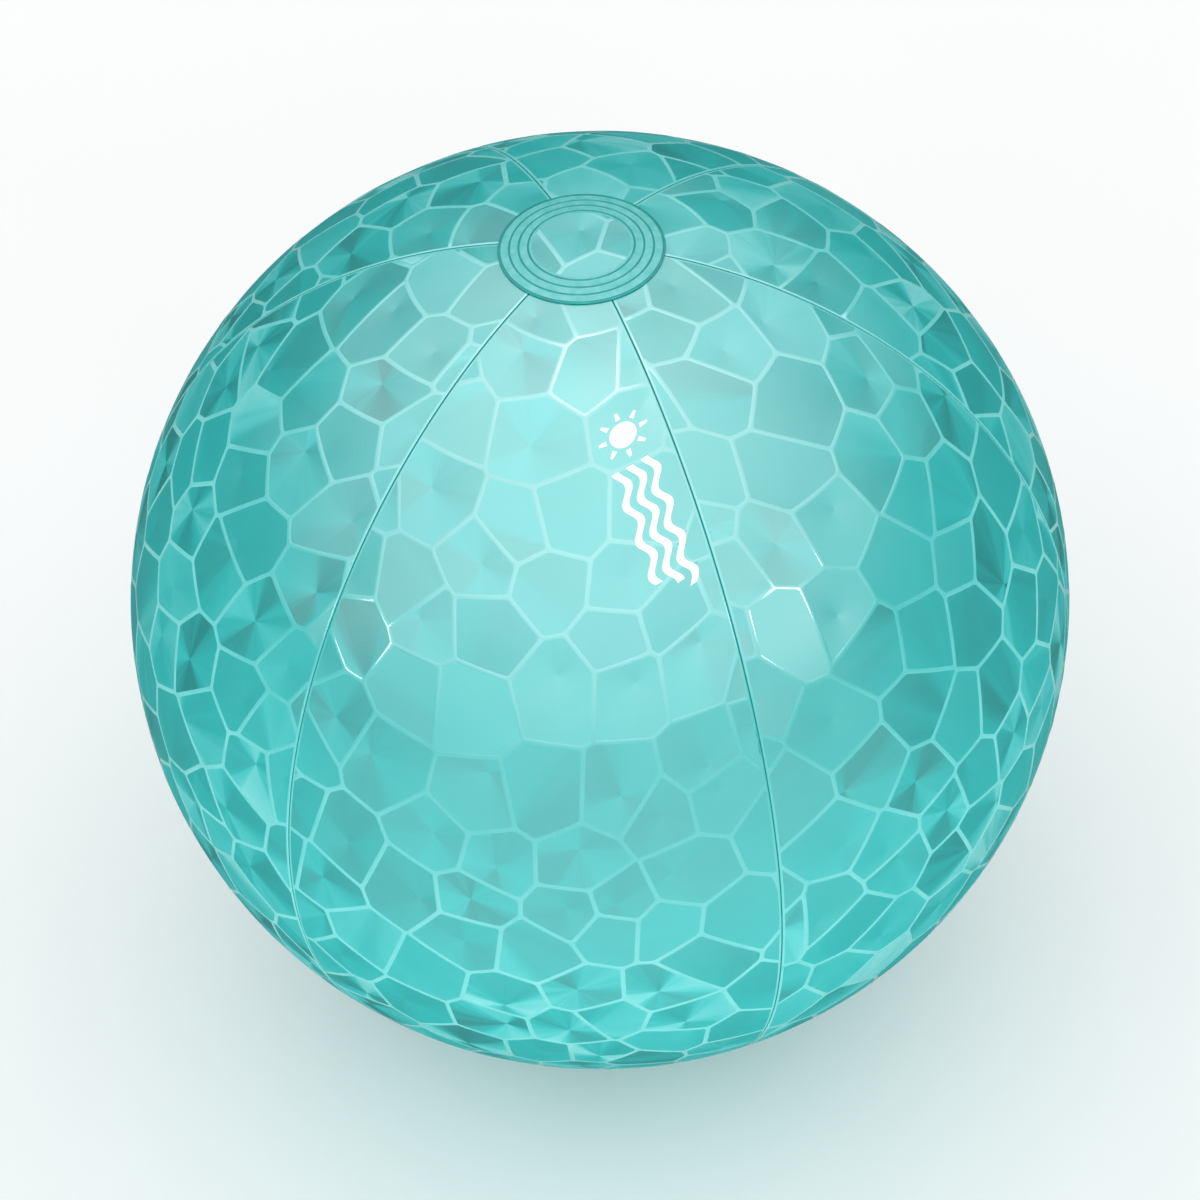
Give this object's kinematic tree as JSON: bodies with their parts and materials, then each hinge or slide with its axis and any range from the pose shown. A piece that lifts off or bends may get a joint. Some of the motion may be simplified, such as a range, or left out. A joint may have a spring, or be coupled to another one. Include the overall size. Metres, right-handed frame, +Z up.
{
  "type": "inflatable beach ball",
  "caption": "See-through teal inflatable ball of vinyl gores and welded pole patches, with a cell pattern and a push-in air valve with a tethered stopper.",
  "frame": {"origin": "middle of the flat contact face under the bottom pole patch, where the ball rests on the ground", "axes": "+Z up along the pole axis, from the bottom patch to the top patch; -Y towards the middle of the front gore; +Y along the valve's axis, out of the back gore; +X to the right seen from the front"},
  "size_m": [0.3884, 0.3913, 0.3887],
  "materials": {
    "film": "gloss",
    "film_printed": "gloss",
    "patch_film": "gloss",
    "valve_vinyl": "gloss",
    "flap_film": "gloss"
  },
  "bodies": {
    "ball": {"gore_front": "film_printed", "gore_front_right": "film", "gore_back_right": "film", "gore_back": "film", "gore_back_left": "film", "gore_front_left": "film", "patch_top": "patch_film", "patch_bottom": "patch_film", "valve_flange": "valve_vinyl", "valve_web": "valve_vinyl"},
    "valve": {"valve_stem": "valve_vinyl"},
    "stopper": {"stopper_plug": "valve_vinyl", "stopper_strap": "valve_vinyl"},
    "flap": {"check_flap": "flap_film"}
  },
  "joints": [
    {"name": "valve_pull", "type": "slide", "parent": "ball", "child": "valve", "axis": [0, 1, 0], "range_m": [0, 0.012], "deforming": ["valve_web"]},
    {"name": "stopper_swing", "type": "hinge", "parent": "valve", "child": "stopper", "pos_m": [-0.0089, 0.19492, 0.19393], "axis": [0, 0, 1], "range_deg": [0, 135]},
    {"name": "check_flap_fold", "type": "hinge", "parent": "valve", "child": "flap", "pos_m": [0, 0.17447, 0.19864], "axis": [-1, 0, 0], "range_deg": [0, 60], "stiffness_Nm_per_rad": 0.0002}
  ]
}
